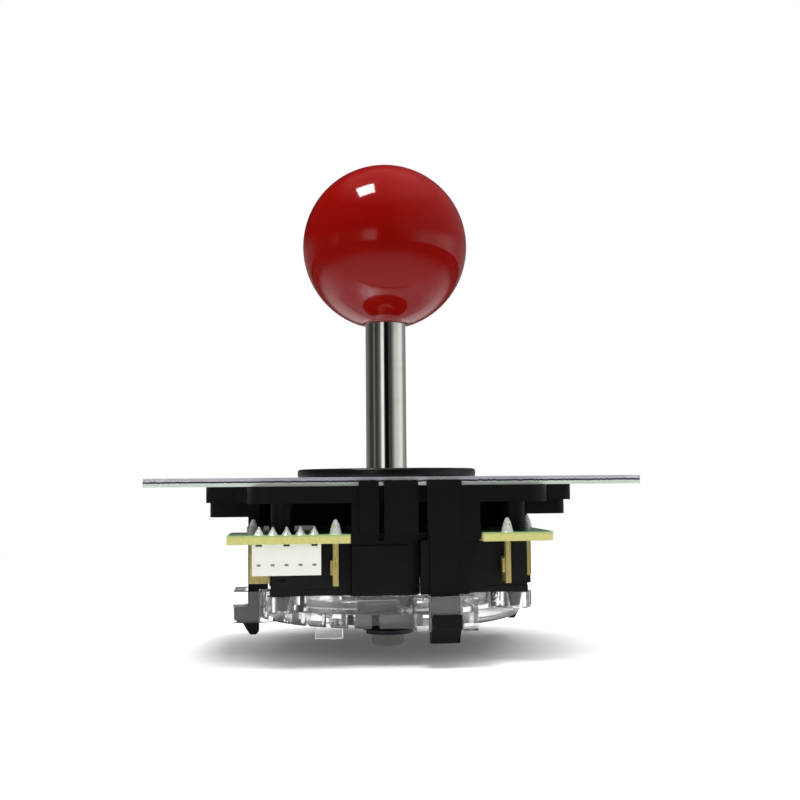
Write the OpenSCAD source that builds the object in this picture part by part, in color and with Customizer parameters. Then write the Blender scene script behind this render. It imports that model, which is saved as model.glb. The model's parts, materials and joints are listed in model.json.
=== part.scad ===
// Ball-top arcade joystick with four switches, a circuit board and a clear gate.
// Millimetres. The origin is the centre of the mounting plate's top face, on the
// lever's axis, with +Z up. The front is -Y, and the connector is at its left end.

/* [Lever and ball] */
// Radius of the ball
ball_r = 17.5; // [15:0.5:19]
// Height of the ball's centre over the plate
ball_z = 49.3; // [44:0.1:56]
// Depth of the flat cut under the ball
ball_flat = 0.9; // [0.5:0.1:1.4]
// Radius of the threaded insert in the ball
insert_r = 4.9; // [4.4:0.1:5.6]
// Length of the threaded insert
insert_len = 13; // [11.5:0.5:15]
// How far up in the ball the insert begins
insert_rise = 0.8; // [0.5:0.1:1.2]
// Radius of the shaft's threaded stud
stud_r = 2.95; // [2.4:0.05:3.4]
// Length of the stud over the shaft's upper shoulder
stud_len = 10; // [7:0.5:11]
// Radius of the bright upper shaft
shaft_r = 4.27; // [3.9:0.01:4.6]
// Radius of the shaft under its lower shoulder
tail_r = 3.38; // [3.1:0.01:3.6]
// Height of the shaft's lower end
tail_end_z = -34.6; // [-36:0.1:-34]
// Width of the screwdriver slot in the lower end
driver_slot_w = 1.2; // [0.8:0.1:1.6]
// Depth of the screwdriver slot
driver_slot_d = 1.4; // [0.8:0.1:1.8]

/* [Pivot] */
// Height of the centre about which the lever tilts
pivot_z = -7; // [-7.3:0.1:-6.7]
// Tilt of the lever each way, in degrees
lever_tilt = 8.5; // [6:0.5:8.5]
// Radius of the spherical bush
bush_r = 7; // [6.7:0.1:7.2]
// Distance from the pivot's centre to each flat of the bush
bush_flat = 4.4; // [4:0.1:4.6]
// Running clearance of the bush in its cup
bush_gap = 0.08; // [0.03:0.01:0.1]
// Clearance left round the lever at full tilt
swing_gap = 0.4; // [0.3:0.05:0.5]

/* [Dust washer and mounting plate] */
// Radius of the dust washer
washer_r = 18.7; // [16:0.1:20]
// Thickness of the dust washer
washer_t = 1.8; // [1.2:0.1:2]
// Length of the plate, along X
plate_w = 95; // [93:0.5:98]
// Depth of the plate, along Y
plate_d = 53; // [51:0.5:53]
// Thickness of the plate
plate_t = 1.6; // [1.4:0.1:1.8]
// Radius of the plate's corners
plate_corner_r = 5; // [2:0.5:6]
// Distance from a slot's middle to the plate's end
slot_end = 5.5; // [5:0.5:6.5]
// Distance from a slot's middle to the plate's long edge
slot_side = 6.5; // [5.5:0.5:8]
// End-to-end length of a slot
slot_len = 7; // [5.5:0.5:7.5]
// Radius of a slot's ends
slot_r = 2.25; // [2:0.05:2.5]

/* [Plate screws] */
// Distance from the axis to the screws along X
screw_x = 31.5; // [30.5:0.5:32.5]
// Distance from the axis to the screws along Y
screw_y = 5.2; // [4.5:0.1:5.5]
// Radius of a screw's thread
screw_r = 1.5; // [1.3:0.05:1.6]
// Radius of a screw's countersunk head
screw_head_r = 2.9; // [2.6:0.1:3.1]
// Length of a screw
screw_len = 6.2; // [5:0.1:7]

/* [Housing] */
// Half the width of the housing's deck
deck_half = 28.2; // [28:0.1:28.5]
// Thickness of the deck
deck_t = 3.15; // [3:0.05:3.8]
// Half the width over the two ears
ear_half = 36.8; // [36:0.1:38]
// Half the depth of an ear
ear_depth = 12; // [11:0.1:12.5]
// Height of the step under each ear
ear_step = 2.9; // [2:0.1:3.2]
// How far that step lies inside the ear's end
ear_inset = 0.6; // [0.4:0.1:1.5]
// Half the depth of the step
ear_step_depth = 9; // [8.5:0.1:10]
// Radius of the hub that carries the bush
hub_r = 8.5; // [8.4:0.1:8.7]
// Left end of the side wall, seen from outside
wall_left = -9.1; // [-9.3:0.1:-8.8]
// Right end of the side wall over the board
wall_right = 14.8; // [14.4:0.1:15]
// Right end of the side wall under the board
skirt_right = 12.6; // [12.3:0.1:12.8]
// Left edge of the narrow slot in the wall
slit_left = -4.1; // [-4.3:0.1:-3.9]
// Right edge of the narrow slot in the wall
slit_right = -3.1; // [-3.3:0.1:-2.9]
// Left edge of the wide slot in the wall, beside the hook
gap_left = 3.2; // [3:0.1:3.3]
// Right edge of the wide slot in the wall, beside the hook
gap_right = 4.9; // [4.7:0.1:5]
// Left edge of the slot under it
notch_left = 2; // [1.8:0.1:2.2]
// Right edge of the slot under it
notch_right = 3.6; // [3.4:0.1:3.8]
// Distance from the axis to a side wall's inner face
wall_in = 26.2; // [26:0.1:26.3]
// Distance from the axis to a side wall's outer face
wall_out = 28; // [27.8:0.1:28.2]
// Distance from the axis to the outer face of the blocks and hook legs
block_out = 28.5; // [28.4:0.1:28.8]
// Height of the blocks that stand before the plate's edge
block_top_z = -0.8; // [-1.2:0.1:-0.4]
// Distance from a side's middle to its hook
hook_mid = 8; // [7.8:0.1:8.1]
// Width of a hook leg
hook_w = 5.4; // [5:0.1:5.6]
// How far a barb's nose stands out of its leg
barb_reach = 2.7; // [2.1:0.1:2.9]
// Height of a barb's catching face
barb_z = -25; // [-25.4:0.1:-24.8]
// Height of the hooks' lower ends
hook_end_z = -30.5; // [-31.5:0.1:-30]

/* [Collar, spring and actuator] */
// Radius of the collar under the hub
collar_r = 7.9; // [7.4:0.1:8.3]
// Thickness of the collar
collar_t = 1; // [0.9:0.05:1.1]
// Mean radius of the spring's turns
spring_r = 5.3; // [5.25:0.05:5.35]
// Diameter of the spring's wire
spring_wire = 1; // [0.8:0.05:1.1]
// Number of turns
spring_turns = 7; // [6:1:8]
// Outer radius of the actuator
actuator_r = 6.6; // [6.5:0.05:6.65]
// Wall of the actuator round the spring
actuator_wall = 0.7; // [0.5:0.05:0.7]
// Height of the actuator's open end
actuator_top_z = -15.7; // [-16:0.1:-15.6]
// Height of the actuator's lower end
actuator_end_z = -31.2; // [-31.5:0.1:-30.5]
// Radius of the actuator's lower end
actuator_nose_r = 5.6; // [5:0.1:6]
// Thickness of the retaining ring
ring_t = 0.8; // [0.6:0.1:1]
// Outer radius of the retaining ring
ring_r = 5.4; // [4.8:0.1:5.6]
// Radius of the groove for the retaining ring
groove_r = 2.6; // [2.3:0.1:2.8]

/* [Circuit board] */
// Height of the board's top face
board_z = -10.4; // [-10.6:0.1:-10.2]
// Thickness of the board
board_t = 1.6; // [1.5:0.1:1.7]
// Half the size of the board
board_half = 29.6; // [29.2:0.1:29.8]
// Distance from the axis to the board's right edge
board_right = 28.9; // [28.7:0.1:29.2]
// Radius of the board's corners
board_corner_r = 3.5; // [2:0.5:4]
// Depth of the board's wider part at the connector
board_tab_d = 22; // [20:0.5:22]
// Distance from the axis to the board's edge at the connector
board_left = 31.6; // [31:0.1:32]

/* [Connector] */
// Distance between contacts
pin_pitch = 2.5; // [2.2:0.05:2.54]
// Left end of the connector
conn_left = -27.1; // [-27.4:0.1:-27]
// Width of the connector
conn_w = 12.4; // [12.2:0.1:12.6]
// Height of the connector under the board
conn_h = 5.6; // [5:0.1:6]
// Wall of the connector
conn_wall = 0.7; // [0.5:0.05:0.9]
// Width of a square contact pin
pin_w = 0.64; // [0.5:0.02:0.8]

/* [Switches] */
// Length of a switch from the common end
case_left = -24; // [-24.1:0.1:-23.9]
// Other end of a switch
case_right = 3.8; // [3.6:0.1:4.2]
// Distance from the lever's axis to a switch's inner face
case_near = 8.9; // [8.8:0.05:9.1]
// Distance from the lever's axis to a switch's outer face
case_far = 24.5; // [24.3:0.1:24.5]
// Thickness of a switch
case_t = 9.8; // [9.6:0.1:9.8]
// Wall of a switch's case
case_wall = 1.2; // [1:0.1:1.3]
// Depth of the outer step in a switch's end
end_step = 0.4; // [0.2:0.1:0.5]
// Distance from the lever's axis to that step
case_end_out = 18.7; // [18.5:0.1:18.9]
// Distance from the lever's axis to the shallow step beside it
case_end_in = 17; // [16.8:0.1:17.2]
// Thickness of a switch's cover
cover_t = 1.2; // [1:0.1:1.4]
// Radius of a plunger
plunger_r = 1.2; // [1:0.05:1.3]
// Running clearance of a plunger
plunger_gap = 0.07; // [0.04:0.01:0.1]
// Gap between a plunger's tip and the actuator at rest
plunger_rest_gap = 0.73; // [0.7:0.01:0.75]
// Travel of a plunger each way
plunger_travel = 1.25; // [1.2:0.01:1.3]
// Thickness of a terminal
terminal_t = 1; // [0.8:0.1:1.1]
// Depth of the terminals' fingers in the board
finger_d = 1.5; // [1.2:0.1:1.6]
// How far a tongue stands out of its terminal
tongue_reach = 0.45; // [0.3:0.05:0.6]
// Radius of the solder on a pin
pin_solder_r = 1; // [0.8:0.1:1.1]
// Height of the solder on a pin
pin_solder_h = 1.5; // [1.2:0.1:1.8]
// Radius of the solder on a terminal
solder_r = 1.2; // [1:0.1:1.3]
// Height of the solder on a terminal
solder_h = 2.7; // [2:0.1:2.8]
// Distance from the axis to the terminals' outer edge
terminal_out = 27.9; // [27.6:0.1:28.2]
// Height of the terminals' lower edge
terminal_end_z = -19.8; // [-20:0.1:-19]
// Sideways place of the common terminal, from the lever's axis
common_at = -20; // [-20.2:0.1:-19.8]
// Sideways place of the open terminal
open_at = -12; // [-12.4:0.1:-11.8]
// Thickness of the switch blade
blade_t = 0.25; // [0.2:0.05:0.4]

/* [Gate] */
// Outer radius of the gate's ring
gate_r = 27.5; // [27.2:0.1:27.8]
// Wall of the ring
gate_wall = 1.6; // [1.4:0.1:1.8]
// Height of the ring
gate_h = 6; // [5.8:0.1:6.4]
// Radius of the ring's rounded lower edge
gate_round = 1.4; // [0.8:0.1:1.4]
// Height of a loop's bar
loop_h = 3; // [2.7:0.1:3]
// Room from a hook leg to the outside of its loop's post
loop_margin = 2.9; // [2.8:0.1:3]
// Radius of the lug round a switch's outer post
lug_r = 2.9; // [2.6:0.1:3.1]
// Thickness of a lug
lug_t = 3; // [2:0.1:3.2]
// Width of a grip rib on the ring
rib_w = 0.45; // [0.3:0.05:0.6]
// Distance between the grip ribs
rib_pitch = 0.85; // [0.8:0.05:1.2]
// How far under the ring's top the ribs end
rib_low = 4.2; // [3:0.1:4.4]
// How far under the ring's top the ribs begin
rib_high = 1.8; // [1:0.1:2.5]
// Thickness of the rotating guide
guide_t = 2.1; // [1.8:0.1:2.2]
// Wall round the guide's square opening
guide_wall = 1.5; // [1.2:0.1:2]
// Angle between the notches round the ring
notch_step = 10; // [8:1:15]
// Width of a notch
notch_w = 1.5; // [1:0.1:2]

/* [Hidden] */

// Fineness of round faces
$fn = 96;
// Overshoot of a cut past the face that it opens
cut = 1;
// Play between pieces that are slipped together by hand
play = 0.1;
// Play of the board round the housing's walls
wall_play = 0.3;
// Step between faces of one moulding that would else lie in one plane
seam = 0.02;
// Chamfer on small turned edges
chamfer = 0.5;
// Turns of each side's pieces about the lever's axis
FRONT = 0;
RIGHT = 90;
BACK = 180;
LEFT = 270;
SIDES = [FRONT, RIGHT, BACK, LEFT];

// The lever tilts about X and Y together at a corner of the gate
corner_tilt = acos(pow(cos(lever_tilt), 2));
// Radius that a round of radius r sweeps at a distance h from the pivot's centre
function sweep_r(r, h) = h * tan(corner_tilt) + r / cos(corner_tilt) + swing_gap;
// Sideways reach of a round of radius r at that distance, with the lever against one side
function reach(r, h) = h * tan(lever_tilt) / cos(lever_tilt) + r / cos(corner_tilt) + swing_gap;

ball_base_z = ball_z - ball_r + ball_flat;
insert_z = ball_base_z + insert_rise;
deck_z = -plate_t;
deck_end_z = deck_z - deck_t;
seat_r = bush_r + bush_gap;
bush_end_z = pivot_z - bush_flat;
hub_floor = 0.5;
hub_end_z = bush_end_z - hub_floor - 0.7;
hub_hole_r = sweep_r(tail_r, pivot_z - hub_end_z);
collar_end_z = hub_end_z - collar_t;
collar_hole_r = sweep_r(tail_r, pivot_z - collar_end_z);
actuator_in_r = actuator_r - actuator_wall;
spring_seat_z = actuator_end_z + 2.7;
board_end_z = board_z - board_t;
skirt_z = board_end_z + 0.3;
case_end_z = board_end_z - case_t;
cover_z = case_end_z + cover_t;
plunger_z = actuator_top_z - plunger_r;
plunger_tip = actuator_r + plunger_rest_gap;
plunger_flange = case_near + case_wall + plunger_travel + play;
plunger_end = plunger_flange + 0.8;
blade_at = plunger_end + plunger_travel + 0.25;
gate_z = case_end_z - play;
gate_end_z = gate_z - gate_h;
guide_z = gate_end_z + guide_t + 0.5;
guide_end_z = guide_z - guide_t;
guide_r = gate_r - gate_wall - 0.3;
guide_half = reach(actuator_r, pivot_z - guide_end_z);
guide_rim_z = guide_z + 1;
ledge_t = 1;
ledge_in_r = (guide_half + guide_wall) * sqrt(2) + 1;
barb_out = block_out + barb_reach;
loop_out = barb_out + play;
leg_left = hook_mid - hook_w / 2;
leg_right = hook_mid + hook_w / 2;
loop_left = leg_left - loop_margin;
loop_right = leg_right + loop_margin;
conn_front = board_half - 0.2;
conn_back = case_far + play;
conn_mid = conn_left + conn_w / 2;
conn_end_z = board_end_z - conn_h;
pin_y = -(conn_front + conn_back) / 2;
pin_count = 5;
pin_first = conn_mid - pin_pitch * (pin_count - 1) / 2;

// Rise of the terminals' fingers over the board
finger_rise = 1.6;
// Height of the terminals' blades and of the tongues stamped out of them
wide_z = -15;
tongue_low = -17.9;
tongue_high = -15.2;
// Height of the terminals' roots and of the blade
root_low = -18.2;
root_high = -15.6;
// Inner end of the common terminal
common_in = -18;

// The two posts that hold a switch, by its outer corners
post_r = 1.4;
post_shoulder_r = 2.2;
post_tip_r = 0.9;
post_tip_z = -24.5;
post_places = [[case_left + 2.3, -(case_far - 2.1)], [case_right - 2.6, -(case_far - 2.1)]];

// A sheet with round corners, centred on the axis
module rounded_sheet(w, d, r) {
    square([w - 2 * r, d], center = true);
    square([w, d - 2 * r], center = true);
    for (sx = [-1, 1], sy = [-1, 1])
        translate([sx * (w / 2 - r), sy * (d / 2 - r)])
            circle(r);
}

// A box between two corners
module block(low, high) {
    translate(low)
        cube(high - low);
}

// Copies of a front piece on the four sides of the lever
module each_side() {
    for (turn = SIDES)
        rotate(turn)
            children();
}

// The ball, with a flat, a mouth for the shaft and a blind hole for its insert
module ball_top() {
    color("crimson")
        difference() {
            translate([0, 0, ball_z])
                sphere(ball_r, $fn = 160);
            translate([0, 0, ball_z - ball_r - cut])
                cylinder(h = ball_flat + cut, r = ball_r);
            translate([0, 0, insert_z])
                cylinder(h = insert_len, r = insert_r);
            translate([0, 0, ball_base_z - cut])
                cylinder(h = insert_rise + 2 * cut, r = shaft_r + play);
        }
}

// The insert, grooved round its middle and bored for the stud
module ball_insert() {
    groove = 0.5;
    third = insert_len / 3;
    color("goldenrod")
        translate([0, 0, insert_z])
            rotate_extrude()
                polygon([
                    [stud_r, 0], [insert_r, 0], [insert_r, third], [insert_r - groove, third + groove],
                    [insert_r - groove, 2 * third - groove], [insert_r, 2 * third],
                    [insert_r, insert_len], [stud_r, insert_len]]);
}

// The shaft: stud, bright upper length, shoulder on the bush, tail with ring groove and slot
module lever_shaft() {
    groove_z = actuator_end_z;
    color("lightsteelblue")
        difference() {
            rotate_extrude()
                polygon([
                    [0, tail_end_z], [tail_r - chamfer, tail_end_z], [tail_r, tail_end_z + chamfer],
                    [tail_r, groove_z - ring_t], [groove_r, groove_z - ring_t],
                    [groove_r, groove_z], [tail_r, groove_z],
                    [tail_r, pivot_z + bush_flat], [shaft_r, pivot_z + bush_flat],
                    [shaft_r, insert_z], [stud_r, insert_z],
                    [stud_r, insert_z + stud_len - chamfer],
                    [stud_r - chamfer, insert_z + stud_len], [0, insert_z + stud_len]]);
            block([-tail_r - cut, -driver_slot_w / 2, tail_end_z - cut],
                [tail_r + cut, driver_slot_w / 2, tail_end_z + driver_slot_d]);
        }
}

// The spherical bush, flat above and below, tight on the tail
module pivot_bush() {
    color("whitesmoke")
        difference() {
            intersection() {
                translate([0, 0, pivot_z])
                    sphere(bush_r, $fn = 120);
                translate([0, 0, bush_end_z])
                    cylinder(h = 2 * bush_flat, r = bush_r + cut);
            }
            translate([0, 0, bush_end_z - cut])
                cylinder(h = 2 * bush_flat + 2 * cut, r = tail_r);
        }
}

// The collar that the spring presses against the hub
module centring_collar() {
    color("dimgray")
        translate([0, 0, collar_end_z])
            rotate_extrude()
                polygon([
                    [collar_hole_r, 0], [collar_r - chamfer, 0], [collar_r, chamfer],
                    [collar_r, collar_t], [collar_hole_r, collar_t]]);
}

// Rise of the spring's wire after a share t of its turns: the end turns lie closed
function coil_rise(t, closed) =
    let (a = closed / spring_turns)
    t < a ? 0 : t > 1 - a ? 1 : (t - a) / (1 - 2 * a);

// The spring, a wire of eight sides swept along its helix
module lever_spring() {
    steps_per_turn = 18;
    sides = 8;
    closed_turn = 0.75;
    steps = spring_turns * steps_per_turn;
    low = spring_seat_z + spring_wire / 2;
    high = collar_end_z - spring_wire / 2;
    points = [for (i = [0 : steps])
        let (turn = 360 * i / steps_per_turn,
            z = low + (high - low) * coil_rise(i / steps, closed_turn))
        for (k = [0 : sides - 1])
            let (r = spring_r + spring_wire / 2 * cos(360 * k / sides))
            [r * cos(turn), r * sin(turn), z + spring_wire / 2 * sin(360 * k / sides)]];
    walls = [for (i = [0 : steps - 1], k = [0 : sides - 1])
        [i * sides + k, i * sides + (k + 1) % sides,
            (i + 1) * sides + (k + 1) % sides, (i + 1) * sides + k]];
    first_cap = [for (k = [sides - 1 : -1 : 0]) k];
    last_cap = [for (k = [0 : sides - 1]) steps * sides + k];
    color("silver")
        polyhedron(points, concat(walls, [first_cap, last_cap]));
}

// The actuator: a cup round the spring, with a sleeve on the shaft and a tapered nose
module actuator() {
    taper_z = actuator_end_z + 3;
    lip = 0.3;
    color("dimgray")
        rotate_extrude()
            polygon([
                [tail_r, actuator_end_z], [actuator_nose_r, actuator_end_z],
                [actuator_r, taper_z], [actuator_r, actuator_top_z - lip],
                [actuator_r - lip, actuator_top_z], [actuator_in_r, actuator_top_z],
                [actuator_in_r, spring_seat_z], [tail_r, spring_seat_z]]);
}

// The retaining ring: an open ring with three prongs in the shaft's groove
module e_ring() {
    rim = 1.3;
    prong_w = 1.6;
    mouth_w = 2 * groove_r;
    color("darkslategray")
        translate([0, 0, actuator_end_z - ring_t])
            linear_extrude(ring_t)
                difference() {
                    union() {
                        difference() {
                            circle(ring_r);
                            circle(ring_r - rim);
                        }
                        for (turn = [0, 135, 225])
                            rotate(turn)
                                translate([groove_r - 0.3, -prong_w / 2])
                                    square([ring_r - rim - groove_r + 0.6, prong_w]);
                    }
                    circle(groove_r);
                    rotate(180)
                        translate([ring_r - 2.4, -mouth_w / 2])
                            square([3, mouth_w]);
                }
}

// The dust washer, with room for the tilted shaft
module dust_washer() {
    edge = 0.3;
    hole_r = sweep_r(shaft_r, washer_t - pivot_z);
    color("dimgray")
        rotate_extrude()
            polygon([
                [hole_r, 0], [washer_r - edge, 0], [washer_r, edge],
                [washer_r, washer_t - edge], [washer_r - edge, washer_t], [hole_r, washer_t]]);
}

// Places of the four countersunk screws
module each_screw() {
    for (sx = [-1, 1], sy = [-1, 1])
        translate([sx * screw_x, sy * screw_y])
            children();
}

// A countersunk head from the plate's top face down
module screw_head(gap) {
    depth = screw_head_r - screw_r;
    translate([0, 0, -depth])
        cylinder(h = depth, r1 = screw_r + gap, r2 = screw_head_r + gap);
}

// The steel plate, slotted at its corners
module mounting_plate() {
    hole_r = sweep_r(shaft_r, -pivot_z);
    color("silver")
        difference() {
            translate([0, 0, deck_z])
                linear_extrude(plate_t)
                    difference() {
                        rounded_sheet(plate_w, plate_d, plate_corner_r);
                        circle(hole_r);
                        for (sx = [-1, 1], sy = [-1, 1])
                            translate([sx * (plate_w / 2 - slot_end), sy * (plate_d / 2 - slot_side)])
                                rounded_sheet(slot_len, 2 * slot_r, slot_r - 0.001);
                    }
            each_screw() {
                screw_head(play);
                translate([0, 0, deck_z - cut])
                    cylinder(h = plate_t + 2 * cut, r = screw_r + play);
            }
        }
}

// The four screws that hold the plate on the ears
module plate_screws() {
    recess = 0.05;
    color("gainsboro")
        each_screw()
            translate([0, 0, -recess])
                difference() {
                    union() {
                        screw_head(0);
                        translate([0, 0, -screw_len])
                            cylinder(h = screw_len, r = screw_r);
                    }
                    for (turn = [0, 90])
                        rotate(turn)
                            block([-1.5, -0.3, -0.9], [1.5, 0.3, cut]);
                }
}

// A hook leg in profile: distance from the axis, then height
module hook_profile() {
    leg_in = block_out - 2.1;
    polygon([
        [leg_in, deck_end_z], [block_out, deck_end_z], [block_out, barb_z],
        [barb_out, barb_z], [barb_out, barb_z - 2.3], [barb_out - 0.6, barb_z - 2.9],
        [block_out + 1.2, barb_z - 3], [block_out - 0.4, hook_end_z],
        [leg_in + 0.5, hook_end_z], [leg_in, hook_end_z + 0.6]]);
}

// One side of the housing: wall, ribs against the switch, hook leg and switch posts
module housing_side() {
    wall_end_z = case_end_z + 0.2;
    rib = 1.2;
    block([wall_left, -wall_out, skirt_z], [wall_right, -wall_in, deck_end_z + cut / 2]);
    block([wall_left, -wall_out, wall_end_z], [notch_left, -wall_in, skirt_z + cut]);
    block([wall_left, -block_out, wall_end_z], [notch_left - 0.6, -wall_in, board_end_z - 0.6]);
    block([notch_right, -wall_out, wall_end_z], [skirt_right, -wall_in, skirt_z + cut]);
    for (x = [wall_left, skirt_right - rib])
        block([x, -wall_in - cut / 2, wall_end_z], [x + rib, -case_far - play, board_end_z - 1]);
    translate([leg_left, 0, 0])
        rotate([90, 0, 90])
            linear_extrude(hook_w)
                mirror([1, 0])
                    hook_profile();
    for (place = post_places)
        translate([place[0], place[1], 0]) {
            translate([0, 0, board_z])
                cylinder(h = deck_end_z + cut / 2 - board_z, r = post_shoulder_r, $fn = 48);
            translate([0, 0, case_end_z])
                cylinder(h = deck_end_z - case_end_z, r = post_r, $fn = 48);
            translate([0, 0, post_tip_z])
                cylinder(h = case_end_z - post_tip_z, r1 = post_tip_r, r2 = post_r, $fn = 48);
        }
}

// The three blocks that stand before the plate's long edge
module plate_stops() {
    for (span = [[wall_left + 1.4, slit_left], [slit_right, gap_left], [gap_right, leg_right + 0.6]])
        block([span[0], -block_out, board_z], [span[1], -plate_d / 2 - play, block_top_z]);
}

// The two slots in a side's wall over the board
module wall_slots() {
    for (span = [[slit_left, slit_right], [gap_left, gap_right]])
        block([span[0], -block_out - cut, skirt_z], [span[1], -wall_in, deck_z + cut]);
}

// The moulded housing: deck and ears, hub with its cup, walls, hooks and posts
module housing() {
    corner_r = 4;
    ear_corner_r = 2;
    fillet_r = 3;
    rib_t = 1.4;
    color("dimgray")
        difference() {
            union() {
                translate([0, 0, deck_end_z])
                    linear_extrude(deck_t)
                        union() {
                            rounded_sheet(2 * deck_half, 2 * deck_half, corner_r);
                            rounded_sheet(2 * ear_half, 2 * ear_depth, ear_corner_r);
                            for (sx = [-1, 1], sy = [-1, 1])
                                scale([sx, sy])
                                    translate([deck_half, ear_depth])
                                        difference() {
                                            translate([-0.1, -0.1])
                                                square(fillet_r + 0.1);
                                            translate([fillet_r, fillet_r])
                                                circle(fillet_r);
                                        }
                        }
                for (sx = [-1, 1])
                    scale([sx, 1])
                        translate([(ear_half + deck_half - ear_inset) / 2 - 2, 0, deck_end_z - ear_step])
                            linear_extrude(ear_step + cut / 2)
                                rounded_sheet(ear_half - ear_inset - deck_half + 4, 2 * ear_step_depth,
                                    ear_corner_r);
                each_side()
                    housing_side();
                for (turn = [FRONT, BACK])
                    rotate(turn)
                        plate_stops();
                translate([0, 0, hub_end_z])
                    cylinder(h = deck_z - hub_end_z, r = hub_r);
                each_side()
                    block([-rib_t / 2, -wall_in - cut / 2, board_z + 0.6],
                        [rib_t / 2, 0, deck_end_z + cut / 2]);
            }
            translate([0, 0, pivot_z])
                sphere(seat_r, $fn = 120);
            translate([0, 0, pivot_z])
                cylinder(h = -pivot_z + cut, r = seat_r);
            translate([0, 0, hub_end_z - cut])
                cylinder(h = pivot_z - hub_end_z, r = hub_hole_r);
            each_screw()
                translate([0, 0, -screw_len - 0.8])
                    cylinder(h = screw_len + 2, r = screw_r);
            each_side()
                wall_slots();
        }
}

// A terminal's finger through the board, on the side named by its turn
module finger(at, out, gap) {
    block([at - terminal_t / 2 - gap, -out - gap, board_end_z - play],
        [at + terminal_t / 2 + gap, -out + finger_d + gap, board_z + finger_rise]);
}

// The finger of a common terminal, which leaves the switch's end
module common_finger(gap) {
    block([-terminal_out - gap, common_at - terminal_t / 2 - gap, board_end_z - play],
        [-terminal_out + finger_d + gap, common_at + terminal_t / 2 + gap, board_z + finger_rise]);
}

// The board's outline: a square with a wider tab for the connector
module board_outline() {
    notch = wall_in - wall_play;
    difference() {
        union() {
            translate([(board_right - board_half) / 2, 0])
                rounded_sheet(board_half + board_right, 2 * board_half, board_corner_r);
            translate([-board_left, -board_half])
                square([board_left + wall_left - wall_play, board_tab_d]);
        }
        circle(hub_r + 0.6);
        for (turn = SIDES)
            rotate(turn) {
                translate([wall_left - wall_play, -board_left - cut])
                    square([wall_right - wall_left + 2 * wall_play, board_left + cut - notch]);
                for (place = post_places)
                    translate(place)
                        circle(post_r + play, $fn = 48);
            }
    }
}

// The circuit board, pierced for its posts, terminals and contact pins
module circuit_board() {
    color("olivedrab")
        difference() {
            translate([0, 0, board_end_z])
                linear_extrude(board_t)
                    board_outline();
            each_side() {
                finger(open_at, terminal_out, play / 2);
                common_finger(play / 2);
            }
            each_pin()
                translate([0, 0, board_end_z - cut])
                    cylinder(h = board_t + 2 * cut, r = pin_w * 0.8, $fn = 32);
        }
}

// Places of the connector's contact pins
module each_pin() {
    for (i = [0 : pin_count - 1])
        translate([pin_first + i * pin_pitch, pin_y, 0])
            children();
}

// A fillet of solder on the board's top face
module solder_cone(r, h) {
    translate([0, 0, board_z])
        cylinder(h = h, r1 = r, r2 = r * 0.3, $fn = 40);
}

// The solder on every pin and terminal
module solder_joints() {
    color("lightgray") {
        difference() {
            each_pin()
                solder_cone(pin_solder_r, pin_solder_h);
            each_pin()
                pin_stock(0);
        }
        each_side() {
            difference() {
                translate([open_at, -terminal_out + finger_d / 2, 0])
                    solder_cone(solder_r, solder_h);
                finger(open_at, terminal_out, 0);
            }
            difference() {
                translate([-terminal_out + finger_d / 2, common_at, 0])
                    solder_cone(solder_r, solder_h);
                common_finger(0);
            }
        }
    }
}

// One square contact pin
module pin_stock(gap) {
    w = pin_w + 2 * gap;
    block([-w / 2, -w / 2, conn_end_z + 1.2], [w / 2, w / 2, board_z + 1.1]);
}

// The five contact pins
module connector_pins() {
    color("gold")
        each_pin()
            pin_stock(0);
}

// The connector's shroud, open below, with small stand-offs under the board
module connector_housing() {
    floor_t = 1.2;
    mark_z = conn_end_z + 1.9;
    color("ivory")
        difference() {
            block([conn_left, -conn_front, conn_end_z], [conn_left + conn_w, -conn_back, board_end_z]);
            block([conn_left + conn_wall, -conn_front + conn_wall, conn_end_z - cut],
                [conn_left + conn_w - conn_wall, -conn_back - conn_wall, board_end_z - floor_t]);
            each_pin() {
                block([-pin_w / 2, -pin_w / 2, board_end_z - floor_t - cut],
                    [pin_w / 2, pin_w / 2, board_end_z + cut]);
                block([-0.35, -(conn_front - conn_back), mark_z - 0.17],
                    [0.35, -(conn_front - conn_back) / 2 + 0.3, mark_z + 0.17]);
            }
            for (i = [0, 2, 4])
                translate([pin_first + i * pin_pitch, 0, 0])
                    block([-0.55, -conn_front - cut, board_end_z - 0.35],
                        [0.55, -conn_back + cut, board_end_z + cut]);
        }
}

// A front switch's case: a tray with posts' holes and a bore for the plunger
module switch_case(turn) {
    color("black")
        rotate(turn)
            difference() {
                block([case_left, -case_far, cover_z], [case_right, -case_near, board_end_z]);
                switch_room();
                for (place = post_places)
                    translate([place[0], place[1], case_end_z - cut])
                        cylinder(h = case_t + 2 * cut, r = post_r + play, $fn = 48);
                translate([0, -case_near - case_wall - cut, plunger_z])
                    rotate([-90, 0, 0])
                        cylinder(h = case_wall + 2 * cut, r = plunger_r + plunger_gap, $fn = 64);
                open_root();
                common_root();
                block([case_left + 1.1, -case_far - cut, cover_z + 1.6],
                    [case_left + 3, -case_far + 0.4, cover_z + 2.2]);
                block([case_left - cut, -case_far - cut, cover_z - cut],
                    [case_left + end_step, -case_end_out, board_end_z + cut]);
                block([case_left - cut, -case_far - cut, cover_z - cut],
                    [case_left + end_step / 2, -case_end_in, board_end_z + cut]);
            }
}

// The room inside a switch, open to its cover and clear of the posts
module switch_room() {
    boss_r = post_r + play + 0.8;
    difference() {
        block([case_left + case_wall, -case_far + case_wall, cover_z - cut],
            [case_right - case_wall, -case_near - case_wall, board_end_z - case_wall]);
        for (place = post_places)
            translate([place[0], place[1], cover_z - 2 * cut])
                cylinder(h = case_t + 2 * cut, r = boss_r, $fn = 48);
    }
}

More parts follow.
